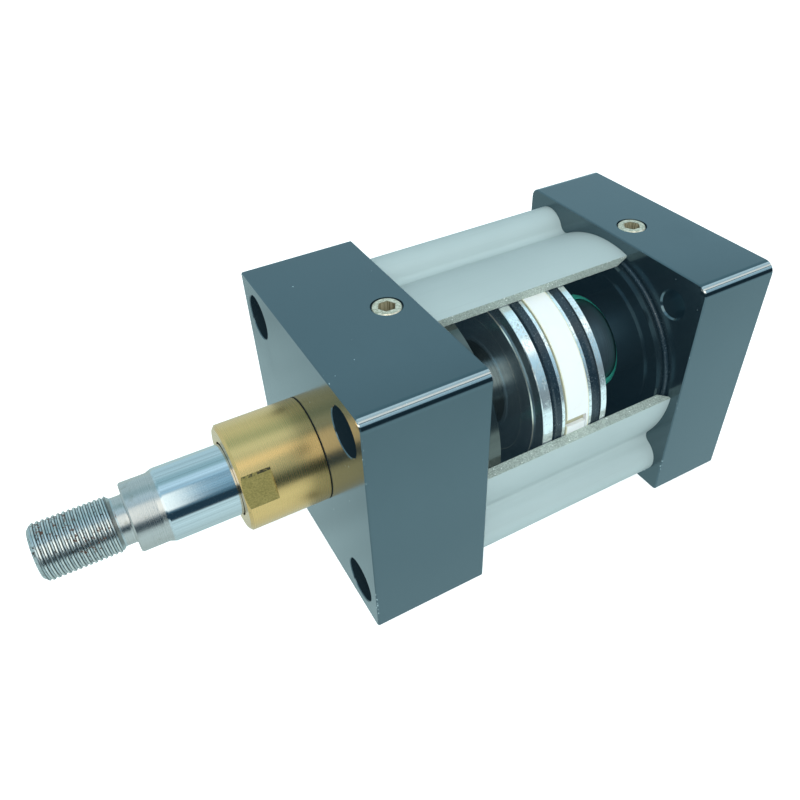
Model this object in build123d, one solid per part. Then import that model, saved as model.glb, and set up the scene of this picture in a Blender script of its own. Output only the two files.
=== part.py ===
from build123d import *
import os
from math import cos, radians, sin

# A pneumatic tie rod cylinder, cut away on one side to show its piston.
# Millimetres. X runs along the rod's axis from the head block's front face to the rear,
# so the rod points along -X. Z is up, and Y = Z = 0 is the rod's axis.

# End blocks and tube, along the axis
block_width = 95.25
head_length = 43.5
barrel_length = 84.3
cap_length = 32.0
edge_break = 0.4

# Rounded long edges of the blocks, seen from the front
near_top_round = 4.0
cap_far_top_round = 3.5
other_edge_round = 1.2

# Tie rods and their sleeve nuts
tie_spacing = 70.1
tie_rod_radius = 9.525 / 2
tie_hole_clearance = 0.4
tie_hole_chamfer = 0.6
nut_pocket_radius = 8.2
nut_pocket_chamfer = 0.3
nut_pocket_clearance = 0.25
nut_recess = 5.0
nut_length = 18.0
nut_thread_clearance = 0.05
nut_rod_thread = 7.5
nut_relief_length = 1.0
nut_relief_depth = 0.5
nut_socket_across_flats = 10.5
nut_socket_depth = 3.5
nut_chamfer = 0.5

# Barrel profile and its window
bore_radius = 40.0
tube_wall = 4.0
lobe_radius = 8.5
lobe_junction_round = 3.0
tube_end_chamfer = 3.0
window_from = 103.4
window_to = 181.5

# Spigots that enter the tube
spigot_clearance = 0.1
head_spigot_length = 10.4
cap_spigot_length = 4.6
boss_radius = 34.3
boss_height = 0.8
tube_seal_section = 0.87
seal_seat_clearance = 0.02

# Cushion chambers and the floating seals in their mouths
cushion_radius = 17.2
cushion_nose_length = 3.0
cushion_nose_step = 0.5
cushion_chamber_radius = 18.05
cap_chamber_floor = 9.5
cushion_mouth_radius = 20.0
cushion_mouth_depth = 1.6
cushion_groove_radius = 21.6
cushion_groove_width = 5.2
cushion_seal_side_clearance = 0.2
cushion_seal_outer_clearance = 0.2
cushion_seal_relief = 0.45
cushion_seal_land_from = 1.44
cushion_seal_land_to = 2.64
cushion_seal_slope_to = 3.36
cushion_sleeve_length = 20.0
cushion_spear_length = 26.0

# Cushion screws, their holes and the passages that they throttle
head_screw_offset = 9.9
cap_screw_offset = 10.5
screw_radius = 5.15
screw_fit_clearance = 0.05
screw_mouth_radius = 5.6
screw_mouth_depth = 2.2
screw_rim_chamfer = 0.4
screw_body_length = 11.6
screw_close_travel = 1.5
screw_floor_clearance = 0.2
screw_socket_across_flats = 5.6
screw_socket_depth = 4.6
screw_socket_angle = -1.3
screw_groove_length = 1.9
screw_groove_depth = 1.3
screw_groove_above_end = 1.6
screw_o_ring_section = 0.6
needle_stem_radius = 2.6
needle_well_radius = 3.6
needle_tip_radius = 0.5
needle_slope = 0.5
orifice_radius = 1.5
orifice_top = 28.5
orifice_clearance = 0.05
bleed_height = 31.0
bleed_radius = 1.5

# Ports, in the far side of both blocks
port_offset = 16.0
port_radius = 10.3
port_depth = 14.0
port_passage_radius = 4.5
port_chamfer = 0.8

# Gland
gland_radius = 19.05
gland_reach = 29.0
gland_nose_chamfer_length = 0.9
gland_nose_chamfer_step = 1.05
gland_seat_depth = 1.5
gland_seat_clearance = 0.05
gland_relief_length = 0.3
gland_relief_radius = 18.8
gland_body_radius = 18.0
gland_body_length = 22.0
gland_end_chamfer = 1.0
gland_mouth_radius = 13.3
gland_flat_angle = 156.0
gland_across_flats = 36.4
gland_flat_length = 10.7
gland_groove_start = 14.5
gland_groove_length = 2.5
gland_groove_depth = 1.5
gland_o_ring_section = 0.75
wiper_start = 1.4
wiper_length = 5.0
wiper_groove_radius = 16.0
wiper_lip_length = 0.9
wiper_lip_depth = 1.2
wiper_lip_edge = 0.3
wiper_heel_gap = 0.3
rod_seal_start = 9.5
rod_seal_length = 6.0
rod_seal_groove_radius = 16.4

# Piston rod
rod_radius = 12.7
rod_fit_clearance = 0.05
rod_reach = 92.1
thread_radius = 9.525
thread_length = 24.3
thread_chamfer = 1.5
neck_radius = 8.2
neck_length = 4.7
turned_radius = 11.9
turned_length = 9.1
turned_chamfer = 0.5
chrome_taper_length = 2.0
centre_drill_radius = 2.4
centre_drill_depth = 4.08
stud_radius = 9.5
stud_fit_clearance = 0.05
stud_thread_length = 18.0
stud_chamfer = 1.0
sleeve_flange_thickness = 5.2

# Piston, from its front face to the rear
piston_front_gap = 16.5
piston_length = 29.6
piston_radius = 39.7
piston_boss_radius = 34.5
piston_boss_height = 0.8
piston_boss_chamfer = 0.4
piston_seat_rim = 1.5
piston_face_step_radius = 27.5
piston_face_step_depth = 0.3
front_land = 3.9
seal_groove_length = 4.2
seal_groove_depth = 3.2
seal_lip_gap = 0.6
seal_heel_gap = 0.1
rib_width = 1.2
band_groove_length = 10.6
band_groove_depth = 1.3
band_width = 9.8
band_start_gap = 0.6
piston_edge_chamfer = 0.3
running_clearance = 0.05
seat_clearance = 0.05
band_cut_from = 172.5
band_cut_to = 176.8
band_step_angle = 15.0
band_step_place = 0.87
band_slit = 0.3
piston_o_ring_section = 0.85
piston_o_ring_groove_length = 2.3
piston_o_ring_groove_depth = 1.75
spear_socket_across_flats = 12.0
spear_socket_depth = 5.0
spear_bore_floor = 1.0

# Shape of a lip seal: shares of its thickness, then of its length
lip_lean = 0.08
lip_mouth = 0.28
lip_notch = 0.45
lip_straight = 0.6
lip_edge = 0.12

# How pieces are drawn and cut
o_ring_sides = 8
cutter_margin = 1.0
same_place = 0.01

# Places worked out from the sizes above
half_width = block_width / 2
sector_reach = 2 * block_width
tie_reach = tie_spacing / 2
cap_face = head_length + barrel_length
tube_outer_radius = bore_radius + tube_wall
tie_hole_radius = tie_rod_radius + tie_hole_clearance
spigot_radius = bore_radius - spigot_clearance
head_boss_face = head_length + head_spigot_length + boss_height
piston_front = head_boss_face + piston_front_gap
piston_rear = piston_front + piston_length
chamber_outer_end = cap_length - cap_chamber_floor
nut_thread_radius = tie_rod_radius + nut_thread_clearance
screw_hole_radius = screw_radius + screw_fit_clearance
rod_bearing_radius = rod_radius + rod_fit_clearance
stud_bore_radius = stud_radius + stud_fit_clearance
spear_end = piston_rear + cushion_spear_length
piston_seat_radius = cushion_radius + piston_seat_rim

# Where the tie rods and their holes are, as (y, z)
corners = [(side * tie_reach, level * tie_reach) for side in (1, -1) for level in (1, -1)]
cut_corner = (-tie_reach, tie_reach)
kept_corners = [corner for corner in corners if corner != cut_corner]


def turned(*outline):
    """A solid turned about the rod's axis, from points (x, radius)."""
    return revolve(make_face(Polyline(*outline, close=True)), Axis.X)


def bar(x_from, x_to, radius, y=0, z=0):
    """A round bar along X."""
    start = min(x_from, x_to)
    round_bar = Cylinder(radius, abs(x_to - x_from), align=(Align.CENTER, Align.CENTER, Align.MIN))
    return Location((start, y, z), (0, 90, 0)) * round_bar


def hexagon_along_x(x_from, x_to, across_flats, y=0, z=0):
    """A hexagonal bar along X."""
    outline = RegularPolygon(across_flats / 2, 6, major_radius=False)
    return extrude(Plane.YZ.offset(min(x_from, x_to)) * Pos(y, z) * outline, abs(x_to - x_from))


def sector(angle_from, angle_to, x_from, x_to):
    """A wedge about the axis, from one angle to another, measured from +Y towards +Z."""
    middle = (angle_from + angle_to) / 2
    ends = [(sector_reach * cos(radians(angle)), sector_reach * sin(radians(angle)))
            for angle in (angle_from, middle, angle_to)]
    outline = make_face(Polyline((0, 0), *ends, close=True))
    return extrude(Plane.YZ.offset(x_from) * outline, x_to - x_from)


def ring(centre, section):
    """An O-ring about Z. Its round section is drawn with flat sides, to keep its faces few."""
    outline = Plane.XZ * Pos(centre, 0) * RegularPolygon(section, o_ring_sides, rotation=180 / o_ring_sides)
    return revolve(outline, Axis.Z)


def o_ring(x, inner_radius, section):
    """An O-ring about the rod's axis, whose inside rests on a cylinder."""
    centre = inner_radius + seal_seat_clearance + section
    return Location((x, 0, 0), (0, 90, 0)) * ring(centre, section)


def lip_seal(heel, lips, inner_radius, outer_radius, rubs_outside):
    """A U-shaped seal ring: a solid heel, and two lips parted by a notch."""
    way = 1 if lips > heel else -1
    length = abs(lips - heel)
    middle = (inner_radius + outer_radius) / 2
    thickness = outer_radius - inner_radius
    lean = lip_lean * thickness
    mouth = lip_mouth * thickness
    inner_heel = inner_radius + (0 if rubs_outside else lean)
    outer_heel = outer_radius - (lean if rubs_outside else 0)
    straight_end = heel + way * lip_straight * length
    edge = lips - way * lip_edge * length
    return turned(
        (heel, inner_heel),
        (heel, outer_heel),
        (straight_end, outer_heel),
        (edge, outer_radius),
        (lips, middle + mouth),
        (lips - way * lip_notch * length, middle),
        (lips, middle - mouth),
        (edge, inner_radius),
        (straight_end, inner_heel),
    )


def block_bar(x_from, x_to, far_top_round):
    """Square bar stock with eased long edges and broken end edges."""
    outline = Rectangle(block_width, block_width)
    rounds = {(-1, 1): near_top_round, (1, 1): far_top_round,
              (-1, -1): other_edge_round, (1, -1): other_edge_round}
    for (side, level), radius in rounds.items():
        corner = outline.vertices().sort_by_distance((side * half_width, level * half_width))[0]
        outline = fillet(corner, radius)
    start = min(x_from, x_to)
    stock = extrude(Plane.YZ.offset(start) * outline, abs(x_to - x_from))
    ends = stock.faces().filter_by(Axis.X)
    return chamfer(ends.edges(), edge_break)


def tie_holes(place, length):
    """Through holes for the tie rods, with a pocket for a nut at the outer end."""
    pocket_floor = length - nut_recess - nut_length
    holes = []
    for y, z in corners:
        holes.append(bar(place(0), place(length), tie_hole_radius, y, z))
        holes.append(bar(place(pocket_floor), place(length), nut_pocket_radius, y, z))
        inner_chamfer = turned((place(0), 0), (place(0), tie_hole_radius + tie_hole_chamfer),
                               (place(tie_hole_chamfer), tie_hole_radius), (place(tie_hole_chamfer), 0))
        rim = length - nut_pocket_chamfer
        outer_chamfer = turned((place(length), 0), (place(length), nut_pocket_radius + nut_pocket_chamfer),
                               (place(rim), nut_pocket_radius), (place(rim), 0))
        holes.append(Pos(0, y, z) * inner_chamfer)
        holes.append(Pos(0, y, z) * outer_chamfer)
    return holes


def screw_hole(x):
    """The stepped hole of a cushion screw, down to the orifice that its needle closes."""
    top = half_width
    well_top = top - screw_body_length - screw_close_travel - screw_floor_clearance
    steps = [(top - screw_mouth_depth, top, screw_mouth_radius),
             (well_top, top, screw_hole_radius),
             (orifice_top, well_top, needle_well_radius),
             (0, orifice_top, orifice_radius)]
    return [Pos(x, 0, low) * Cylinder(radius, high - low, align=(Align.CENTER, Align.CENTER, Align.MIN))
            for low, high, radius in steps]


def port(x):
    """A tapped port in the far side, with a passage to the cushion chamber."""
    outward = Location((x, 0, 0), (-90, 0, 0))
    upright = (Align.CENTER, Align.CENTER, Align.MIN)
    floor = half_width - port_depth
    tapped = Pos(0, 0, floor) * Cylinder(port_radius, port_depth, align=upright)
    passage = Cylinder(port_passage_radius, floor, align=upright)
    mouth = Pos(0, 0, half_width - port_chamfer) * Cone(
        port_radius, port_radius + port_chamfer, port_chamfer, align=upright)
    return [outward * tapped, outward * passage, outward * mouth]


def end_block(face, way, length, spigot_length, chamber_end, screw_offset, far_top_round):
    """A head or cap block. Its parts are placed by their distance outwards from its inner face."""

    def place(distance):
        return face + way * distance

    boss_face = -spigot_length - boss_height
    groove_start = boss_face + cushion_mouth_depth
    groove_end = groove_start + cushion_groove_width
    block = block_bar(place(0), place(length), far_top_round)
    block += bar(place(-spigot_length), place(edge_break), spigot_radius)
    block += bar(place(boss_face), place(0), boss_radius)
    block -= bar(place(boss_face), place(groove_start), cushion_mouth_radius)
    block -= bar(place(groove_start), place(groove_end), cushion_groove_radius)
    block -= bar(place(groove_end), place(chamber_end), cushion_chamber_radius)
    block -= tie_holes(place, length)
    block -= screw_hole(place(screw_offset))
    block -= port(place(port_offset))
    block -= bar(place(boss_face), place(screw_offset), bleed_radius, 0, bleed_height)
    return block


def head_block():
    block = end_block(head_length, -1, head_length, head_spigot_length, head_length,
                      head_screw_offset, other_edge_round)
    return block - bar(0, gland_seat_depth, gland_radius + gland_seat_clearance)


def cap_block():
    return end_block(cap_face, 1, cap_length, cap_spigot_length, chamber_outer_end,
                     cap_screw_offset, cap_far_top_round)


def barrel_tube():
    """The extruded tube, whose corner lobes hold the tie rods, with its window cut."""
    outline = Circle(tube_outer_radius)
    for y, z in corners:
        outline += Pos(y, z) * Circle(lobe_radius)
    junctions = [point for point in outline.vertices()
                 if abs(Vector(point.X, point.Y).length - tube_outer_radius) < same_place
                 and min(Vector(point.X - y, point.Y - z).length for y, z in corners) < lobe_radius + same_place]
    outline = fillet(junctions, lobe_junction_round)
    outline -= Circle(bore_radius)
    for y, z in corners:
        outline -= Pos(y, z) * Circle(tie_hole_radius)
    tube = extrude(Plane.YZ.offset(head_length) * outline, barrel_length)
    for end, way in ((head_length, 1), (cap_face, -1)):
        tube -= turned((end, 0), (end, bore_radius + tube_end_chamfer),
                       (end + way * tube_end_chamfer, bore_radius), (end + way * tube_end_chamfer, 0))
    return tube - sector(window_from, window_to, head_length, cap_face)


def tie_rods():
    """The three tie rods that are left, one in each uncut lobe."""
    start = nut_recess + nut_length - nut_rod_thread
    end = cap_face + cap_length - start
    return [bar(start, end, tie_rod_radius, y, z) for y, z in kept_corners]


def sleeve_nut(outer_end, way, y, z):
    """A round nut with a hexagon socket, tapped for a mounting screw and, past a relief, for a tie rod."""

    def place(distance):
        return outer_end + way * distance

    radius = nut_pocket_radius - nut_pocket_clearance
    rod_thread_start = nut_length - nut_rod_thread
    nut = bar(place(0), place(nut_length), radius, y, z)
    rim = nut.edges().filter_by(GeomType.CIRCLE).sort_by_distance((place(0), y, z))[0]
    nut = chamfer(rim, nut_chamfer)
    nut -= bar(place(0), place(nut_length), nut_thread_radius, y, z)
    nut -= bar(place(rod_thread_start - nut_relief_length), place(rod_thread_start),
               nut_thread_radius + nut_relief_depth, y, z)
    return nut - hexagon_along_x(place(0), place(nut_socket_depth), nut_socket_across_flats, y, z)


def sleeve_nuts():
    rear = cap_face + cap_length
    nuts = [sleeve_nut(nut_recess, 1, y, z) for y, z in kept_corners]
    return nuts + [sleeve_nut(rear - nut_recess, -1, y, z) for y, z in kept_corners]


def gland():
    """The bronze nose that guides the rod and holds its wiper and seal."""
    front = -gland_reach
    body_end = gland_body_length
    nose = gland_radius - gland_nose_chamfer_step
    wiper = front + wiper_start
    seal = front + rod_seal_start
    groove = gland_groove_start
    blank = turned((front, 0), (front, nose), (front + gland_nose_chamfer_length, gland_radius),
                   (-gland_relief_length, gland_radius), (-gland_relief_length, gland_relief_radius),
                   (gland_seat_depth, gland_relief_radius), (gland_seat_depth, gland_body_radius),
                   (body_end - gland_end_chamfer, gland_body_radius),
                   (body_end, gland_body_radius - gland_end_chamfer), (body_end, 0))
    for turn in (0, 180):
        flat = Pos(front, gland_across_flats / 2, 0) * Box(
            gland_flat_length, gland_radius, 3 * gland_radius,
            align=(Align.MIN, Align.MIN, Align.CENTER))
        blank -= Rot(gland_flat_angle + turn, 0, 0) * flat
    blank -= bar(front, wiper, gland_mouth_radius)
    blank -= bar(wiper, wiper + wiper_length, wiper_groove_radius)
    blank -= bar(seal, seal + rod_seal_length, rod_seal_groove_radius)
    blank -= bar(front, body_end, rod_bearing_radius)
    groove_end = groove + gland_groove_length
    around = bar(groove, groove_end, gland_body_radius + cutter_margin)
    return blank - (around - bar(groove, groove_end, gland_body_radius - gland_groove_depth))


def gland_o_ring():
    middle = gland_groove_start + gland_groove_length / 2
    return o_ring(middle, gland_body_radius - gland_groove_depth, gland_o_ring_section)


def rod_wiper():
    """A scraper ring whose lip leans forward on the rod."""
    start = -gland_reach + wiper_start + seat_clearance
    end = start + wiper_length - 2 * seat_clearance
    outer = wiper_groove_radius - seat_clearance
    lip_end = start + wiper_lip_length
    return turned((start + wiper_lip_depth, outer), (end, outer), (end, rod_bearing_radius + wiper_heel_gap),
                  (lip_end, rod_bearing_radius), (start, rod_bearing_radius),
                  (start, rod_bearing_radius + wiper_lip_edge),
                  (start + wiper_lip_depth, rod_bearing_radius + wiper_lip_depth))


def rod_seal():
    start = -gland_reach + rod_seal_start + seal_heel_gap
    end = start + rod_seal_length - seal_lip_gap
    return lip_seal(start, end, rod_bearing_radius, rod_seal_groove_radius - seat_clearance, False)


def tube_seal(face, way):
    """The O-ring in the corner between a spigot, its block and the chamfered end of the tube."""
    return o_ring(face + way * (tube_seal_section + seal_seat_clearance), spigot_radius, tube_seal_section)


def cushion_seal(boss_face, way):
    """A floating seal ring that grips the cushion sleeve or spear as it enters the block."""
    start = boss_face + way * (cushion_mouth_depth + cushion_seal_side_clearance)
    width = cushion_groove_width - 2 * cushion_seal_side_clearance
    inner = cushion_radius + running_clearance
    relieved = inner + cushion_seal_relief
    outer = cushion_groove_radius - cushion_seal_outer_clearance

    def place(distance):
        return start + way * distance

    return turned((place(0), relieved), (place(0), outer), (place(width), outer), (place(width), relieved),
                  (place(cushion_seal_slope_to), relieved), (place(cushion_seal_land_to), inner),
                  (place(cushion_seal_land_from), inner))


def cushion_screw(x):
    """A needle screw, flush with the block's top, with a hexagon socket and an O-ring groove."""
    top = half_width
    end = top - screw_body_length
    groove_low = end + screw_groove_above_end
    groove_high = groove_low + screw_groove_length
    groove_radius = screw_radius - screw_groove_depth
    tip = orifice_top + screw_close_travel - (orifice_radius - orifice_clearance - needle_tip_radius) / needle_slope
    cone_top = tip + (needle_stem_radius - needle_tip_radius) / needle_slope
    outline = Polyline((0, tip), (needle_tip_radius, tip), (needle_stem_radius, cone_top),
                       (needle_stem_radius, end), (screw_radius, end), (screw_radius, groove_low),
                       (groove_radius, groove_low), (groove_radius, groove_high), (screw_radius, groove_high),
                       (screw_radius, top), (0, top), close=True)
    screw = revolve(Plane.XZ * make_face(outline), Axis.Z)
    rim = screw.edges().filter_by(GeomType.CIRCLE).sort_by(Axis.Z)[-1]
    screw = chamfer(rim, screw_rim_chamfer)
    socket = RegularPolygon(screw_socket_across_flats / 2, 6, major_radius=False, rotation=screw_socket_angle)
    cut = extrude(Pos(0, 0, top - screw_socket_depth) * socket, screw_socket_depth)
    return Pos(x, 0, 0) * (screw - cut)


def screw_o_ring(x):
    """The O-ring that seals a cushion screw in its hole."""
    height = half_width - screw_body_length + screw_groove_above_end + screw_groove_length / 2
    centre = screw_radius - screw_groove_depth + seal_seat_clearance + screw_o_ring_section
    return Pos(x, 0, height) * ring(centre, screw_o_ring_section)


def piston_rod():
    """The chromed rod, its threaded end in front, and the stud that carries the piston."""
    tip = -rod_reach
    thread_end = tip + thread_length
    shoulder = thread_end + neck_length
    turned_end = shoulder + turned_length
    chrome_start = turned_end + chrome_taper_length
    stud_start = piston_front - sleeve_flange_thickness
    stud_end = piston_rear + stud_thread_length
    blank = turned((tip, 0), (tip, thread_radius - thread_chamfer), (tip + thread_chamfer, thread_radius),
                   (thread_end, thread_radius), (thread_end + (thread_radius - neck_radius), neck_radius),
                   (shoulder, neck_radius), (shoulder, turned_radius - turned_chamfer),
                   (shoulder + turned_chamfer, turned_radius), (turned_end, turned_radius),
                   (chrome_start, rod_radius), (stud_start, rod_radius), (stud_start, stud_radius),
                   (stud_end - stud_chamfer, stud_radius), (stud_end, stud_radius - stud_chamfer), (stud_end, 0))
    centre_drill = turned((tip, 0), (tip, centre_drill_radius), (tip + centre_drill_depth, 0))
    return blank - centre_drill


def piston():
    """The piston, with a groove for a seal at each end and one for the wear band between them."""
    edge = piston_edge_chamfer
    front = piston_front + piston_boss_height
    rear = piston_rear - piston_boss_height
    radius = piston_radius
    boss_edge = piston_boss_chamfer
    step_floor = piston_front + piston_face_step_depth
    blank = turned((piston_front, stud_bore_radius), (piston_front, piston_seat_radius),
                   (step_floor, piston_seat_radius), (step_floor, piston_face_step_radius),
                   (piston_front, piston_face_step_radius),
                   (piston_front, piston_boss_radius - boss_edge), (piston_front + boss_edge, piston_boss_radius),
                   (front, piston_boss_radius), (front, radius - edge), (front + edge, radius),
                   (rear - edge, radius), (rear, radius - edge), (rear, piston_boss_radius),
                   (piston_rear, piston_boss_radius), (piston_rear, stud_bore_radius))
    grooves = [(front_seal_groove(), seal_groove_length, seal_groove_depth),
               (band_groove(), band_groove_length, band_groove_depth),
               (rear_seal_groove(), seal_groove_length, seal_groove_depth)]
    for start, length, depth in grooves:
        blank -= bar(start, start + length, radius + cutter_margin) - bar(start, start + length, radius - depth)
    middle = (piston_front + piston_rear - piston_o_ring_groove_length) / 2
    return blank - bar(middle, middle + piston_o_ring_groove_length,
                       stud_bore_radius + piston_o_ring_groove_depth)


def front_seal_groove():
    return piston_front + piston_boss_height + front_land


def band_groove():
    return front_seal_groove() + seal_groove_length + rib_width


def rear_seal_groove():
    return band_groove() + band_groove_length + rib_width


def piston_seal(start, lips_forward):
    """A piston seal, with its lips towards the pressure on its own side."""
    near = start + (seal_lip_gap if lips_forward else seal_heel_gap)
    far = start + seal_groove_length - (seal_heel_gap if lips_forward else seal_lip_gap)
    inner = piston_radius - seal_groove_depth + seat_clearance
    outer = bore_radius - running_clearance
    if lips_forward:
        return lip_seal(far, near, inner, outer, True)
    return lip_seal(near, far, inner, outer, True)


def wear_band():
    """The split guide band, with a step cut at its joint."""
    start = band_groove() + band_start_gap
    end = start + band_width
    step = start + band_step_place * band_width
    band = bar(start, end, bore_radius - running_clearance)
    band -= bar(start, end, piston_radius - band_groove_depth + seat_clearance)
    gap = band_cut_to - band_cut_from
    band -= sector(band_cut_from, band_cut_to, start, step)
    band -= sector(band_cut_from, band_cut_from + band_step_angle, step - band_slit, step)
    return band - sector(band_cut_from + band_step_angle - gap, band_cut_from + band_step_angle, step - band_slit, end)


def piston_o_ring():
    middle = (piston_front + piston_rear) / 2
    return o_ring(middle, stud_radius, piston_o_ring_section)


def cushion_sleeve():
    """The sleeve that closes the head's chamber, gripped by a flange behind the rod's shoulder."""
    start = piston_front - cushion_sleeve_length
    flange = piston_front - sleeve_flange_thickness
    return turned((start, rod_bearing_radius), (start, cushion_radius - cushion_nose_step),
                  (start + cushion_nose_length, cushion_radius), (piston_front, cushion_radius),
                  (piston_front, stud_bore_radius), (flange, stud_bore_radius), (flange, rod_bearing_radius))


def cushion_spear():
    """The spear that closes the cap's chamber, screwed on the rod's stud to hold the piston."""
    bore_end = piston_rear + stud_thread_length + spear_bore_floor
    spear = turned((piston_rear, stud_bore_radius), (piston_rear, cushion_radius),
                   (spear_end - cushion_nose_length, cushion_radius),
                   (spear_end, cushion_radius - cushion_nose_step), (spear_end, 0), (bore_end, 0),
                   (bore_end, stud_bore_radius))
    return spear - hexagon_along_x(spear_end - spear_socket_depth, spear_end, spear_socket_across_flats)


head_screw_x = head_length - head_screw_offset
cap_screw_x = cap_face + cap_screw_offset
cap_boss_face = cap_face - cap_spigot_length - boss_height

nodes = {
    "head_block": head_block(),
    "cap_block": cap_block(),
    "barrel_tube": barrel_tube(),
    "tie_rods": tie_rods(),
    "sleeve_nuts": sleeve_nuts(),
    "gland": gland(),
    "gland_o_ring": gland_o_ring(),
    "rod_wiper": rod_wiper(),
    "rod_seal": rod_seal(),
    "head_tube_seal": tube_seal(head_length, 1),
    "cap_tube_seal": tube_seal(cap_face, -1),
    "head_cushion_seal": cushion_seal(head_boss_face, -1),
    "cap_cushion_seal": cushion_seal(cap_boss_face, 1),
    "head_cushion_screw": cushion_screw(head_screw_x),
    "cap_cushion_screw": cushion_screw(cap_screw_x),
    "head_screw_o_ring": screw_o_ring(head_screw_x),
    "cap_screw_o_ring": screw_o_ring(cap_screw_x),
    "piston_rod": piston_rod(),
    "piston": piston(),
    "front_piston_seal": piston_seal(front_seal_groove(), True),
    "rear_piston_seal": piston_seal(rear_seal_groove(), False),
    "wear_band": wear_band(),
    "piston_o_ring": piston_o_ring(),
    "head_cushion_sleeve": cushion_sleeve(),
    "cap_cushion_spear": cushion_spear(),
}

os.makedirs("parts", exist_ok=True)
for name, piece in nodes.items():
    solids = piece if isinstance(piece, list) else [piece]
    group = Compound(children=solids) if len(solids) > 1 else solids[0]
    export_step(group, f"parts/{name}.step")
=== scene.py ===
from math import cos, radians, sin, tau

import bpy
from mathutils import Matrix, Vector


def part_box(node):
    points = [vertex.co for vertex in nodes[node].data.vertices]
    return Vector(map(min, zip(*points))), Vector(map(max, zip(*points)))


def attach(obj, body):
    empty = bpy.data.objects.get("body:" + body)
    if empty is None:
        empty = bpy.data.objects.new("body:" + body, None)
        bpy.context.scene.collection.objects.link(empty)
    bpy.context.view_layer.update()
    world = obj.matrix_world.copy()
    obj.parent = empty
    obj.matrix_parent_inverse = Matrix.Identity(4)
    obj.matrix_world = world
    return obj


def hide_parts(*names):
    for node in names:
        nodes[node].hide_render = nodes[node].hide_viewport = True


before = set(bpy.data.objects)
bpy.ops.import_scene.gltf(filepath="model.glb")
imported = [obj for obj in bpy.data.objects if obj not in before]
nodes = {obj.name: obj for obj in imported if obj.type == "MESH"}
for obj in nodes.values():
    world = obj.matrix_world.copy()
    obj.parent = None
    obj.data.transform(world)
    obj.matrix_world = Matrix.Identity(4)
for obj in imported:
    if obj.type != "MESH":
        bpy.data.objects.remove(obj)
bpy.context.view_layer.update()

# Lengths below are millimetres, in the frame of the CAD model: X along the rod's axis from the head block's
# front face, Z up. MM turns them into metres. The places that a node's box gives are read from it.
MM = 0.001


def box(node):
    """The low and high corners of a CAD node's box, in millimetres."""
    low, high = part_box(node)
    return low / MM, high / MM


HALF_WIDTH = box("head_block")[1].z
HEAD_LENGTH = box("barrel_tube")[0].x
CAP_FACE = box("barrel_tube")[1].x
REAR_FACE = box("cap_block")[1].x
SCREW_PLACES = [(box(node)[0].x + box(node)[1].x) / 2 for node in ("head_cushion_screw", "cap_cushion_screw")]
BORE_RADIUS = 40.0
PISTON_RADIUS = box("piston")[1].z
WINDOW_ANGLES = (103.4, 181.5)
PORT_OFFSET = 16.0
GLAND_RADIUS = box("gland")[1].z
GLAND_FLAT_END = box("gland")[0].x + 10.7
GLAND_FLAT_ANGLE = 156.0
GLAND_FLAT_DISTANCE = 18.2
GLAND_GAP = 0.31
ROD_TIP = box("piston_rod")[0].x
ROD_END = box("piston_rod")[1].x
ROD_RADIUS = box("piston_rod")[1].z
THREAD_CREST = 9.525
THREAD_DEPTH = 0.50
THREAD_ROOT = THREAD_CREST - THREAD_DEPTH
THREAD_END = ROD_TIP + 24.3
SHOULDER = THREAD_END + 4.7
TURNED_END = SHOULDER + 9.1
CHROME_START = TURNED_END + 2.0
PISTON_EDGES = (27.5, 34.3)
SMOOTH_STEPS = 128
ROUND_SHARP_ANGLE = radians(32)
TURNED_SHARP_ANGLE = radians(12)


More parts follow.
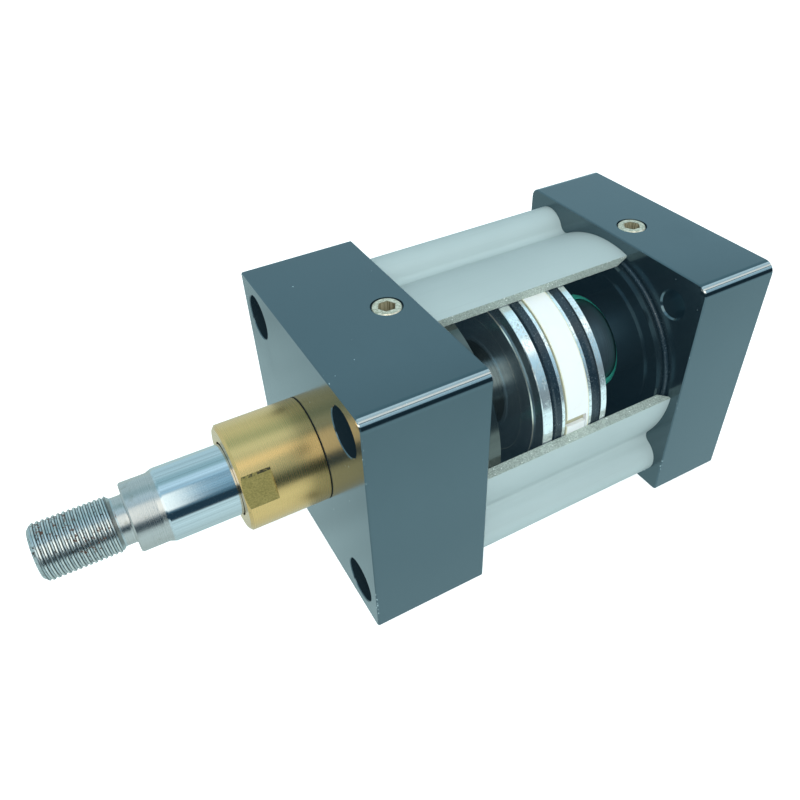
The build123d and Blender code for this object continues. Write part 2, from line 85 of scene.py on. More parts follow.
class Shade:
    """One procedural material. Each call adds a node and returns the socket that the next one reads."""

    def __init__(self, name):
        self.material = bpy.data.materials.new(name)
        self.material.use_nodes = True
        self.tree = self.material.node_tree
        self.surface = self.tree.nodes["Principled BSDF"]
        self.place = self.node("TexCoord").outputs["Object"]
        apart = self.node("SeparateXYZ", Vector=self.place)
        self.x, self.y, self.z = apart.outputs

    def node(self, kind, **inputs):
        node = self.tree.nodes.new("ShaderNode" + kind)
        for key, value in inputs.items():
            self.put(node.inputs[key], value)
        return node

    def put(self, socket, value):
        if isinstance(value, bpy.types.NodeSocket):
            self.tree.links.new(value, socket)
        elif isinstance(value, tuple) and socket.type == "RGBA":
            socket.default_value = (*value[:3], 1.0)
        else:
            socket.default_value = value

    def set(self, **inputs):
        """Sets or links inputs of the surface shader, with underscores for spaces."""
        for key, value in inputs.items():
            self.put(self.surface.inputs[key.replace("_", " ")], value)

    def math(self, operation, first, second=0.0):
        node = self.node("Math")
        node.operation = operation
        self.put(node.inputs[0], first)
        self.put(node.inputs[1], second)
        return node.outputs[0]

    def both(self, first, second):
        """The share of two masks that overlap."""
        return self.math("MULTIPLY", first, second)

    def above(self, value, limit):
        """1 where a length in metres is over a limit in millimetres."""
        return self.math("GREATER_THAN", value, limit * MM)

    def below(self, value, limit):
        """1 where a length in metres is under a limit in millimetres."""
        return self.math("LESS_THAN", value, limit * MM)

    def close_to(self, value, place, reach):
        """1 where a length in metres is within reach of a place, both in millimetres."""
        return self.below(self.math("ABSOLUTE", self.math("SUBTRACT", value, place * MM)), reach)

    def stretch_of(self, value, low, high):
        """A smooth change from 0 to 1 while a length in metres goes from low to high, in millimetres."""
        return self.span(value, low * MM, high * MM)

    def stretched(self, along_x, along_y, along_z):
        """The object's coordinates, multiplied on each axis."""
        node = self.node("VectorMath")
        node.operation = "MULTIPLY"
        self.put(node.inputs[0], self.place)
        node.inputs[1].default_value = (along_x, along_y, along_z)
        return node.outputs[0]

    def noise(self, scale, detail=2.0, roughness=0.5, vector=None):
        node = self.node("TexNoise", Vector=vector or self.place, Scale=scale, Detail=detail, Roughness=roughness)
        return node.outputs["Fac"]

    def line_noise(self, value, scale, detail=2.0, roughness=0.6):
        """Noise of one number, for rings and lines."""
        node = self.node("TexNoise")
        node.noise_dimensions = "1D"
        self.put(node.inputs["W"], value)
        self.put(node.inputs["Scale"], scale)
        self.put(node.inputs["Detail"], detail)
        self.put(node.inputs["Roughness"], roughness)
        return node.outputs["Fac"]

    def specks(self, cell, size, share):
        """A mask of small round specks: one in some cells of a grid, cell and size in millimetres."""
        node = self.node("TexVoronoi", Vector=self.place, Scale=1 / (cell * MM))
        draws = self.node("SeparateColor", Color=node.outputs["Color"]).outputs
        chosen = self.math("GREATER_THAN", draws[0], 1 - share)
        wide = self.math("MULTIPLY", draws[1], size / cell)
        return self.both(chosen, self.math("LESS_THAN", node.outputs["Distance"], wide))

    def span(self, value, low, high):
        """0 below low, 1 above high, and a smooth change between."""
        node = self.node("MapRange", Value=value)
        node.interpolation_type = "SMOOTHSTEP"
        node.inputs["From Min"].default_value = low
        node.inputs["From Max"].default_value = high
        return node.outputs[0]

    def mix(self, factor, first, second):
        node = self.node("Mix")
        node.data_type = "RGBA"
        self.put(node.inputs[0], factor)
        self.put(node.inputs[6], first)
        self.put(node.inputs[7], second)
        return node.outputs[2]

    def blend(self, factor, first, second):
        """A number between two others."""
        node = self.node("Mix")
        self.put(node.inputs[0], factor)
        self.put(node.inputs[2], first)
        self.put(node.inputs[3], second)
        return node.outputs[0]

    def bump(self, height, strength, depth, normal=None):
        node = self.node("Bump", Height=height, Strength=strength, Distance=depth * MM)
        if normal:
            self.put(node.inputs["Normal"], normal)
        return node.outputs[0]

    def radius(self):
        """Distance from the rod's axis, in metres."""
        squares = self.math("ADD", self.math("MULTIPLY", self.y, self.y), self.math("MULTIPLY", self.z, self.z))
        return self.math("SQRT", squares)

    def turning(self):
        """A number that changes along a turned surface, whether it is a cylinder or a face."""
        return self.math("ADD", self.x, self.radius())

    def round_the_axis(self):
        """Tangents that run round the rod's axis, for turned metal's stretched highlights."""
        node = self.node("Tangent")
        node.direction_type = "RADIAL"
        node.axis = "X"
        return node.outputs[0]

    def lift_shadows(self, tint=(0.22, 0.66, 1.0), strength=0.013):
        """A faint painted glow: an emission that lifts these pieces' shadows, so that they are never quite black."""
        self.set(Emission_Color=tint, Emission_Strength=strength)

    def reach(self, angle):
        """Distance from the rod's axis along a direction, at an angle from +Y towards +Z."""
        return self.math("ADD", self.math("MULTIPLY", self.y, cos(radians(angle))),
                         self.math("MULTIPLY", self.z, sin(radians(angle))))

    def half_plane(self, angle, width):
        """1 near the flat half plane that leaves the rod's axis at an angle from +Y towards +Z."""
        across = self.reach(angle + 90)
        return self.both(self.close_to(across, 0.0, width), self.above(self.reach(angle), 0.0))


def block_finish(name, x_from, x_to):
    """Black anodised aluminium with dust specks and wipe marks, and edges worn to bare metal.

    The rounded near top edge carries a painted highlight stripe, split by a painted dark line, over a band of painted
    shade.
    """
    edge_wear = 0.55
    stripe_depth = 1.75
    dark_line_depth = 1.05
    dark_depth = 3.0
    stripe_reach = 2.7
    soft = 0.1
    spigot_room = 0.3
    spigot_start = 0.5
    spigot_length = 12
    s = Shade(name)
    to_x = face_distance(s, s.x, x_from * MM, x_to * MM)
    to_y = face_distance(s, s.y, -HALF_WIDTH * MM, HALF_WIDTH * MM)
    to_z = face_distance(s, s.z, -HALF_WIDTH * MM, HALF_WIDTH * MM)
    low = s.math("MINIMUM", to_x, to_y)
    high = s.math("MAXIMUM", to_x, to_y)
    from_edge = s.math("MAXIMUM", low, s.math("MINIMUM", high, to_z))
    chips = s.math("ADD", s.noise(900, 3, 0.7), s.math("MULTIPLY", s.noise(45, 1), 0.55))
    worn = s.both(s.below(from_edge, edge_wear), s.math("GREATER_THAN", chips, 0.98))
    # Painted light on the rounded near top edge: a painted highlight stripe, dimmer above a painted dark line along
    # it, over a band of painted shade.
    near_edge = s.stretch_of(s.y, stripe_reach + soft - HALF_WIDTH, stripe_reach - soft - HALF_WIDTH)
    upper = s.stretch_of(s.z, HALF_WIDTH - stripe_depth - soft, HALF_WIDTH - stripe_depth + soft)
    lower = s.stretch_of(s.z, HALF_WIDTH - dark_depth - 2 * soft, HALF_WIDTH - dark_depth + 2 * soft)
    dark_line = s.close_to(s.z, HALF_WIDTH - dark_line_depth, soft)
    satin_and_dim = s.blend(s.above(s.z, HALF_WIDTH - dark_line_depth), 1.0, 0.62)
    painted_highlight = s.both(s.both(near_edge, upper), s.blend(dark_line, satin_and_dim, 0.2))
    painted_shade = s.both(s.both(near_edge, lower), s.math("SUBTRACT", 1.0, upper))
    mottled_patch = s.both(painted_highlight, s.blend(chips, 1.0, 0.85))
    dust = s.specks(4.0, 0.28, 0.16)
    lint = s.specks(15.0, 0.40, 0.14)
    bright = s.math("MAXIMUM", worn, s.math("MULTIPLY", lint, 0.7))
    deep = s.mix(s.noise(26, 3, 0.55), (0.098, 0.132, 0.144), (0.112, 0.147, 0.158))
    powder = s.mix(s.math("MULTIPLY", s.noise(2600, 1), 0.3), deep, (0.084, 0.115, 0.128))
    dusty = s.mix(s.math("MULTIPLY", dust, 0.8), powder, (0.62, 0.70, 0.71))
    spotted = s.mix(bright, dusty, (0.55, 0.60, 0.60))
    # Painted highlight: the head's spigot, just behind the block, is tinted a warm brown.
    spigot = s.both(s.below(s.radius(), BORE_RADIUS + spigot_room), s.above(s.x, HEAD_LENGTH + spigot_start))
    near_head = s.both(spigot, s.below(s.x, HEAD_LENGTH + spigot_length))
    tinted = s.mix(s.math("MULTIPLY", near_head, 0.8), spotted, (0.12, 0.115, 0.09))
    # The painted shade and the painted highlight go into the colour here.
    edged = s.mix(s.math("MULTIPLY", painted_shade, 0.85), tinted, (0.020, 0.034, 0.040))
    colour = s.mix(s.math("MULTIPLY", mottled_patch, 0.9), edged, (0.86, 0.80, 0.74))
    wipes = s.span(s.noise(55, 3, 0.6, s.stretched(1.0, 0.5, 0.35)), 0.50, 0.80)
    rough = s.math("ADD", s.math("MULTIPLY", wipes, 0.07), s.blend(s.noise(420, 2), 0.12, 0.20))
    s.set(Base_Color=colour, Metallic=0.93, Roughness=s.math("ADD", rough, s.math("MULTIPLY", dust, 0.3)))
    s.set(Normal=s.bump(s.noise(3000, 2), 0.12, 0.02))
    s.lift_shadows()
    return s.material


def face_distance(s, value, low, high):
    """Distance from the nearer of two parallel faces."""
    return s.math("ABSOLUTE", s.math("MINIMUM", s.math("SUBTRACT", value, low), s.math("SUBTRACT", high, value)))


def barrel_finish():
    """Clear anodised extrusion with fine lines along it, and sandy cut faces where the window is."""
    s = Shade("barrel_anodised")
    on_surface = 0.06
    cut = s.math("MAXIMUM", *[s.half_plane(angle, on_surface) for angle in WINDOW_ANGLES])
    lines = s.noise(1, 2, 0.6, s.stretched(25, 1700, 1700))
    cloud = s.noise(32, 2)
    satin_and_dim = s.mix(cloud, (0.445, 0.510, 0.502), (0.495, 0.560, 0.552))
    streaky = s.mix(s.math("MULTIPLY", s.span(lines, 0.55, 0.8), 0.25), satin_and_dim, (0.385, 0.448, 0.442))
    sand = s.noise(2300, 4, 0.75)
    grit = s.mix(s.span(sand, 0.35, 0.68), (0.30, 0.345, 0.30), (0.72, 0.78, 0.71))
    marks = s.specks(1.1, 0.4, 0.35)
    gritty = s.mix(marks, grit, (0.88, 0.92, 0.87))
    inside = s.below(s.radius(), BORE_RADIUS + on_surface)
    honed = s.mix(s.line_noise(s.x, 9000, 2), (0.38, 0.43, 0.455), (0.53, 0.58, 0.59))
    colour = s.mix(cut, s.mix(inside, streaky, honed), gritty)
    rough = s.blend(cut, s.blend(inside, s.blend(lines, 0.54, 0.62), 0.22), 0.62)
    fine = s.bump(lines, 0.25, 0.02)
    rugged = s.bump(s.both(sand, cut), 0.9, 0.25, fine)
    s.set(Base_Color=colour, Metallic=0.22, Roughness=rough, Normal=rugged)
    return s.material


def turned_finish(name, light, dark, rough, lines=2600, bump=0.3, anisotropy=0.6, metallic=1.0):
    """Metal off a lathe: rings that run round the axis, and highlights stretched across them."""
    s = Shade(name)
    rings = s.line_noise(s.turning(), lines, 4, 0.75)
    cloud = s.noise(60, 2)
    mixed = s.mix(s.span(rings, 0.3, 0.7), dark, light)
    toned = s.mix(s.math("MULTIPLY", cloud, 0.35), mixed, dark)
    s.set(Base_Color=toned, Metallic=metallic, Roughness=s.blend(rings, rough * 0.8, rough * 1.25))
    s.set(Anisotropic=anisotropy, Tangent=s.round_the_axis(), Normal=s.bump(rings, bump, 0.03))
    return s


def gland_finish():
    """Bearing bronze with a fine turned surface, two milled flats and painted shade where it meets the head block."""
    on_surface = 0.04
    burr_width = 0.25
    s = turned_finish("gland_bronze", (0.84, 0.52, 0.210), (0.78, 0.475, 0.185), 0.27, 3000, 0.03, 0.0)
    turned_colour, turned_rough, turned_normal = (
        s.surface.inputs[key].links[0].from_socket for key in ("Base Color", "Roughness", "Normal"))
    from_axis = s.math("ABSOLUTE", s.reach(GLAND_FLAT_ANGLE))
    flat = s.both(s.close_to(from_axis, GLAND_FLAT_DISTANCE, on_surface),
                  s.below(s.x, GLAND_FLAT_END + on_surface / 2))
    milled = s.noise(1, 4, 0.7, s.stretched(1500, 2600, 2600))
    patina = s.mix(s.span(milled, 0.30, 0.72), (0.212, 0.168, 0.049), (0.375, 0.296, 0.100))
    upper_edge = s.both(s.above(s.radius(), GLAND_RADIUS - burr_width),
                        s.above(s.z, GLAND_FLAT_DISTANCE * sin(radians(GLAND_FLAT_ANGLE))))
    burr = s.both(upper_edge, s.span(s.noise(800, 3, 0.7), 0.44, 0.52))
    chipped = s.mix(burr, patina, (0.050, 0.042, 0.022))
    spots = s.specks(2.6, 0.35, 0.25)
    round_part = s.mix(s.math("MULTIPLY", spots, 0.5), turned_colour, (0.35, 0.27, 0.10))
    # Painted shade: the last fraction of a millimetre before the head block is dark, as the shadow of the gap there.
    gap_shade = s.above(s.x, -GLAND_GAP)
    colour = s.mix(gap_shade, s.mix(flat, round_part, chipped), (0.012, 0.010, 0.006))
    dull = s.math("MAXIMUM", flat, gap_shade)
    s.set(Base_Color=colour, Metallic=s.blend(dull, 1.0, 0.35), Roughness=s.blend(dull, turned_rough, 0.7))
    grain = s.bump(s.noise(1500, 3, 0.7), 0.10, 0.02, turned_normal)
    s.set(Normal=s.bump(s.both(milled, flat), 0.6, 0.06, grain))
    return s.material


def rod_finish():
    """Hard chrome on the rod, a rougher turned end, and a thread with grime, rust and painted light and shade on it.
    """
    clean_threads = 1.6
    run_out = 1.35
    crest_edge = 0.045
    root_edge = 0.015
    edge_blur = 0.08
    flank_blur = 0.10
    plating_start = 0.9
    plating_full = 0.2
    s = Shade("rod_steel")
    radius = s.radius()
    ground = s.line_noise(s.x, 5200, 3, 0.7)
    chrome = s.mix(ground, (0.52, 0.54, 0.55), (0.60, 0.61, 0.61))
    turned = s.line_noise(s.turning(), 2600, 4, 0.8)
    bare = s.mix(turned, (0.43, 0.40, 0.38), (0.63, 0.57, 0.53))
    stain = s.span(s.noise(240, 4, 0.7), 0.54, 0.74)
    stained = s.mix(s.math("MULTIPLY", stain, 0.35), bare, (0.27, 0.24, 0.17))
    crest_start = THREAD_CREST - crest_edge
    root_stop = THREAD_ROOT + root_edge
    # Painted light along the thread's profile: lighter crests and roots are painted highlights, darker flanks painted
    # shade.
    crest_share = s.stretch_of(radius, crest_start - edge_blur, crest_start)
    flank_shade = s.both(s.stretch_of(radius, root_stop, root_stop + edge_blur),
                   s.stretch_of(radius, crest_start, crest_start - flank_blur))
    patchy = s.both(s.span(s.noise(110, 2), 0.42, 0.56), s.below(s.x, THREAD_END - clean_threads))
    grimy = s.both(s.span(s.noise(1100, 3, 0.7), 0.54, 0.62), patchy)
    valley = s.mix(grimy, (0.50, 0.52, 0.51), (0.07, 0.05, 0.04))
    crest = s.mix(s.noise(900, 2, 0.5), (0.56, 0.55, 0.52), (0.72, 0.69, 0.65))
    threaded = s.mix(flank_shade, s.mix(crest_share, valley, crest), (0.24, 0.245, 0.24))
    rust = s.both(s.span(s.noise(700, 3, 0.6), 0.55, 0.61), s.span(s.noise(90, 1), 0.50, 0.58))
    rusty = s.mix(rust, threaded, (0.105, 0.050, 0.034))
    on_thread = s.below(s.x, THREAD_END + run_out)
    on_chrome = s.stretch_of(s.x, CHROME_START - plating_start, CHROME_START - plating_full)
    colour = s.mix(on_thread, s.mix(on_chrome, stained, chrome), rusty)
    fine_rough = s.blend(on_chrome, s.blend(turned, 0.18, 0.32), s.blend(ground, 0.07, 0.13))
    rough = s.blend(on_thread, fine_rough, s.blend(crest_share, 0.34, 0.22))
    s.set(Base_Color=colour, Metallic=s.blend(s.both(rust, on_thread), 1.0, 0.2), Roughness=rough)
    lathe = s.bump(turned, s.blend(on_chrome, 0.4, 0.04), 0.03)
    s.set(Anisotropic=0.35, Tangent=s.round_the_axis(), Normal=s.bump(s.noise(1800, 3), 0.12, 0.02, lathe))
    return s.material


def piston_finish():
    """A turned alloy piston: dark faces with painted highlights on ring edges, worn lands with pits, grease under the
    band.
    """
    ring_edge = 0.14
    land_start = 0.4
    land_full = 0.2
    s = Shade("piston_alloy")
    radius = s.radius()
    rings = s.line_noise(s.turning(), 4200, 4, 0.8)
    broad = s.line_noise(s.turning(), 420, 2, 0.5)
    face = s.mix(rings, (0.22, 0.28, 0.31), (0.52, 0.58, 0.58))
    faced = s.mix(s.math("MULTIPLY", broad, 0.5), face, (0.14, 0.18, 0.20))
    # Painted highlights: thin bright rings in the colour at the edges of the steps on the face.
    edges = [s.close_to(radius, place, ring_edge) for place in PISTON_EDGES]
    with_edge_highlights = s.mix(s.math("MAXIMUM", *edges), faced, (0.90, 0.86, 0.72))
    band_low, band_high = box("wear_band")
    under_band = s.both(s.above(s.x, band_low.x), s.below(s.x, band_high.x))
    greased = s.mix(under_band, with_edge_highlights, (0.46, 0.42, 0.28))
    pits = s.noise(1500, 4, 0.8)
    bruised = s.span(s.noise(130, 3, 0.65), 0.42, 0.60)
    mottled_patch = s.both(s.span(pits, 0.50, 0.64), s.blend(bruised, 0.15, 1.0))
    land = s.mix(mottled_patch, (0.88, 0.90, 0.88), (0.42, 0.43, 0.38))
    on_land = s.stretch_of(radius, PISTON_RADIUS - land_start, PISTON_RADIUS - land_full)
    metal = s.blend(on_land, s.blend(under_band, 0.85, 0.2), 0.80)
    rough = s.blend(on_land, s.blend(rings, 0.14, 0.22), s.blend(mottled_patch, 0.12, 0.34))
    s.set(Base_Color=s.mix(on_land, greased, land), Metallic=metal, Roughness=rough)
    s.set(Anisotropic=0.75, Tangent=s.round_the_axis())
    s.set(Normal=s.bump(mottled_patch, s.math("MULTIPLY", on_land, 0.5), 0.05, s.bump(rings, 0.12, 0.02)))
    s.lift_shadows()
    return s.material


def rubber_finish(name, dark, light, rough, painted_glint=0.0):
    """Moulded rubber, slightly mottled, with an oily sheen, and pale specks of painted highlight where asked."""
    s = Shade(name)
    # Painted highlights: pale specks mixed into the colour.
    painted_glints = s.math("MULTIPLY", s.span(s.noise(2100, 3, 0.75), 0.60, 0.72), painted_glint)
    mottled = s.mix(s.noise(700, 3, 0.6), dark, light)
    s.set(Base_Color=s.mix(painted_glints, mottled, (0.40, 0.46, 0.48)))
    s.set(Roughness=s.blend(s.noise(240, 2), rough, rough + 0.14))
    s.set(Normal=s.bump(s.noise(1500, 3, 0.7), 0.5, 0.05))
    s.lift_shadows()
    return s


def band_finish():
    """White filled plastic, with a faint yellow line along each rim and hair-fine machining lines."""
    s = Shade("band_plastic")
    rim_width = 0.55
    rim_full = 0.1
    low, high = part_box("wear_band")
    from_rim = s.math("MINIMUM", s.math("SUBTRACT", s.x, low.x), s.math("SUBTRACT", high.x, s.x))
    rim = s.stretch_of(from_rim, rim_width, rim_full)
    lines = s.line_noise(s.x, 6000, 3, 0.7)
    white = s.mix(lines, (0.80, 0.79, 0.785), (0.87, 0.855, 0.845))
    smudge = s.math("MULTIPLY", s.span(s.noise(150, 3, 0.6), 0.55, 0.75), 0.25)
    colour = s.mix(s.math("MAXIMUM", rim, smudge), white, (0.72, 0.68, 0.50))
    s.set(Base_Color=colour, Roughness=s.blend(lines, 0.30, 0.42), Subsurface_Weight=0.15)
    s.set(Subsurface_Radius=(0.004, 0.003, 0.002), Normal=s.bump(lines, 0.15, 0.02))
    return s.material


def screw_finish():
    """A worn zinc plated head, and a broached socket that shows yellow metal."""
    socket_start = 0.15
    socket_reach = 3.6
    s = Shade("screw_zinc")
    along = [s.math("ABSOLUTE", s.math("SUBTRACT", s.x, place * MM)) for place in SCREW_PLACES]
    near = s.math("MINIMUM", *along)
    from_centre = s.math("SQRT", s.math("ADD", s.math("MULTIPLY", near, near), s.math("MULTIPLY", s.y, s.y)))
    socket = s.both(s.below(s.z, HALF_WIDTH - socket_start), s.below(from_centre, socket_reach))
    worn = s.noise(1100, 4, 0.7)
    zinc = s.mix(s.span(worn, 0.38, 0.62), (0.55, 0.46, 0.33), (0.99, 0.82, 0.64))
    broached = s.noise(1, 2, 0.6, s.stretched(2600, 2600, 40))
    yellow = s.mix(s.span(broached, 0.35, 0.65), (0.15, 0.125, 0.07), (0.57, 0.50, 0.335))
    s.set(Base_Color=s.mix(socket, zinc, yellow), Metallic=s.blend(socket, 1.0, 0.3))
    s.set(Roughness=s.blend(worn, 0.24, 0.5), Normal=s.bump(s.blend(socket, worn, broached), 0.6, 0.06))
    return s.material


def steel_finish(name, dark, light, rough):
    """Plain bar or oxide-finished steel with a mottled surface."""
    s = Shade(name)
    mottle = s.noise(380, 4, 0.65)
    s.set(Base_Color=s.mix(mottle, dark, light), Metallic=1.0, Roughness=s.blend(mottle, rough, rough + 0.15))
    s.set(Normal=s.bump(mottle, 0.2, 0.03))
    return s.material


def mesh_piece(name, points, faces, material, body, replaced=None, sharp_angle=ROUND_SHARP_ANGLE):
    """A smooth-shaded mesh that rides on a body, from points in millimetres, sharp where faces meet at an angle."""
    mesh = bpy.data.meshes.new(name)
    mesh.from_pydata([(x * MM, y * MM, z * MM) for x, y, z in points], [], faces)
    mesh.validate()
    piece = bpy.data.objects.new(name, mesh)
    bpy.context.scene.collection.objects.link(piece)
    mesh.shade_smooth()
    mesh.set_sharp_from_angle(angle=sharp_angle)
    piece.data.materials.append(material)
    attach(piece, body)
    if replaced:
        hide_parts(replaced)


def rings_mesh(rings, closed=False):
    """Points and faces of one closed skin through rings of points.

    The rings join into a loop when closed. Otherwise each end is shut with triangles to a point on the rod's axis.
    """
    steps = len(rings[0])
    points = [point for each in rings for point in each]
    faces = []
    for row in range(len(rings) if closed else len(rings) - 1):
        above = (row + 1) % len(rings)
        for step in range(steps):
            onward = (step + 1) % steps
            faces.append((row * steps + step, row * steps + onward, above * steps + onward, above * steps + step))
    if not closed:
        last = (len(rings) - 1) * steps
        tips = (len(points), len(points) + 1)
        for step in range(steps):
            onward = (step + 1) % steps
            faces.append((tips[0], onward, step))
            faces.append((tips[1], last + step, last + onward))
        points += [(rings[0][0][0], 0, 0), (rings[-1][0][0], 0, 0)]
    return points, faces


def turned_ring(x, radius, steps):
    """One ring of points about the rod's axis. The radius is a number or a function of the angle."""
    angles = [tau * step / steps for step in range(steps)]
    sizes = [radius(angle) if callable(radius) else radius for angle in angles]
    return [(x, size * cos(angle), size * sin(angle)) for angle, size in zip(angles, sizes)]


def thread_depth(share):
    """How far a thread's surface lies below its crest, from 0 to 1, at a share of its pitch."""
    crest_half = 0.14
    root_half = 0.14
    away = abs(share - round(share))
    slope = (away - crest_half) / (0.5 - root_half - crest_half)
    return min(max(slope, 0.0), 1.0)


def threaded_rod(material):
    """The piston rod with its real helical thread, in place of the plain one."""
    pitch = 25.4 / 16
    rows_per_pitch = 16
    steps = 96
    neck = 8.2
    chamfer = 1.5
    neck_round = 0.6
    turned_radius = 11.9
    turned_chamfer = 0.5
    stud_start = box("head_cushion_sleeve")[1].x - 5.2
    stud_radius = 9.5
    stud_chamfer = 1.0
    drill_radius = 2.4
    drill_depth = 4.08
    drill_point = 0.02
    run_out_slope = 1.2

    def threaded(x):
        def radius(angle):
            turn = (x - ROD_TIP) / pitch - angle / tau
            size = THREAD_CREST - THREAD_DEPTH * thread_depth(turn)
            return min(size, THREAD_CREST - chamfer + x - ROD_TIP, THREAD_ROOT + (THREAD_END - x) * run_out_slope)
        return radius

    count = round((THREAD_END - ROD_TIP) / pitch * rows_per_pitch)
    profile = [(ROD_TIP + drill_depth, drill_point), (ROD_TIP, drill_radius)]
    for row in range(count + 1):
        x = ROD_TIP + (THREAD_END - ROD_TIP) * row / count
        profile.append((x, threaded(x)))
    profile += [(THREAD_END + THREAD_ROOT - neck, neck), (SHOULDER - neck_round, neck),
                (SHOULDER - neck_round * 0.3, neck + neck_round * 0.3), (SHOULDER, neck + neck_round),
                (SHOULDER, turned_radius - turned_chamfer), (SHOULDER + turned_chamfer, turned_radius),
                (TURNED_END, turned_radius), (CHROME_START, ROD_RADIUS), (stud_start, ROD_RADIUS),
                (stud_start, stud_radius), (ROD_END - stud_chamfer, stud_radius),
                (ROD_END, stud_radius - stud_chamfer)]
    points, faces = rings_mesh([turned_ring(x, radius, steps) for x, radius in profile])
    mesh_piece("threaded_rod", points, faces, material, "rod", "piston_rod", TURNED_SHARP_ANGLE)


def tapped_thread(name, start, inward, radius, depth, pitch, length, material):
    """The ridge of an internal thread, wound from a hole's mouth inwards, as one closed strip."""
    steps = 48
    inward = Vector(inward)
    across = inward.orthogonal().normalized()
    other = inward.cross(across)
    ridge_half = 0.42 * pitch
    taper_turns = 0.5
    into_wall = 0.02
    count = round(length / pitch * steps)
    points = []
    for step in range(count + 1):
        turns = step / steps
        height = depth * min(1.0, turns / taper_turns, (count / steps - turns) / taper_turns) + into_wall
        outward = across * cos(tau * turns) + other * sin(tau * turns)
        foot = Vector(start) + outward * (radius + into_wall)
        middle = inward * pitch * turns
        points += [foot + middle - inward * ridge_half, foot + middle - outward * (height + into_wall),
                   foot + middle + inward * ridge_half]
    faces = [(2, 1, 0), (3 * count, 3 * count + 1, 3 * count + 2)]
    for step in range(count):
        for side in range(3):
            onward = (side + 1) % 3
            faces.append((3 * step + onward, 3 * step + 3 + onward, 3 * step + 3 + side, 3 * step + side))
    mesh_piece(name, [tuple(point) for point in points], faces, material, "barrel")


def port_threads(head_material, cap_material):
    """The threads of the two ports, on the far side of the blocks."""
    radius = 10.3
    depth = 0.75
    pitch = 1.814
    first_turn = 2.6
    length = 9.5
    for name, x, material in (("head_port_thread", HEAD_LENGTH - PORT_OFFSET, head_material),
                              ("cap_port_thread", CAP_FACE + PORT_OFFSET, cap_material)):
        tapped_thread(name, (x, HALF_WIDTH - first_turn, 0), (0, -1, 0), radius, depth, pitch, length, material)


def nut_threads(material):
    """The threads of the sleeve nuts, in the half that takes a mounting screw."""
    reach = 70.1 / 2
    radius = 4.8125
    depth = 0.42
    pitch = 25.4 / 24
    first_turn = 9.2
    length = 4.6
    for side, level, place in ((1, 1, "far_top"), (1, -1, "far_bottom"), (-1, -1, "near_bottom")):
        for block, x, way in (("head", 0, 1), ("cap", REAR_FACE, -1)):
            start = (x + way * first_turn, side * reach, level * reach)
            tapped_thread(f"{block}_nut_thread_{place}", start, (way, 0, 0), radius, depth, pitch, length, material)


def rubber_rings(material):
    """Round O-rings in place of the flat-sided ones, each of the size and place of its node."""
    bodies = {"gland_o_ring": "barrel", "head_tube_seal": "barrel", "cap_tube_seal": "barrel",
              "piston_o_ring": "rod", "head_screw_o_ring": "head_screw_ring", "cap_screw_o_ring": "cap_screw_ring"}
    round_steps = 16
    for node, body in bodies.items():
        low, high = box(node)
        centre = (low + high) / 2
        size = high - low
        upright = size.z < size.x
        section = min(size.x, size.z) / 2
        middle = size.y / 2 - section
        angles = [tau * step / round_steps for step in range(round_steps)]
        rings = [turned_ring(section * sin(angle), middle + section * cos(angle), SMOOTH_STEPS) for angle in angles]
        points, faces = rings_mesh(rings, closed=True)
        if upright:
            points = [(y, z, x) for x, y, z in points]
        points = [(x + centre.x, y + centre.y, z + centre.z) for x, y, z in points]
        mesh_piece(node + "_round", points, faces, material, body, node)


def stage_material(name, colour, camera_glow):
    """A pale diffuse surface, with a glow that only the camera sees."""
    material = bpy.data.materials.new(name)
    material.use_nodes = True
    tree = material.node_tree
    shader = tree.nodes["Principled BSDF"]
    shader.inputs["Base Color"].default_value = (*colour, 1)
    shader.inputs["Roughness"].default_value = 0.9
    shader.inputs["Specular IOR Level"].default_value = 0.0
    path = tree.nodes.new("ShaderNodeLightPath")
    glow = tree.nodes.new("ShaderNodeMath")
    glow.operation = "MULTIPLY"
    glow.inputs[1].default_value = camera_glow
    tree.links.new(path.outputs["Is Camera Ray"], glow.inputs[0])
    shader.inputs["Emission Color"].default_value = (1, 1, 1, 1)
    tree.links.new(glow.outputs[0], shader.inputs["Emission Strength"])
    return material


def floor():
    """A pale floor under the blocks. Reflections look past it, at the studio's own lower half."""
    half = 4.0
    mesh = bpy.data.meshes.new("floor")
    level = -HALF_WIDTH * MM
    mesh.from_pydata([(-half, -half, level), (half, -half, level), (half, half, level), (-half, half, level)], [],
                     [(0, 1, 2, 3)])
    plane = bpy.data.objects.new("floor", mesh)
    bpy.context.scene.collection.objects.link(plane)
    plane.data.materials.append(stage_material("floor_pale", (0.84, 0.85, 0.85), 0.66))
    plane.visible_glossy = False


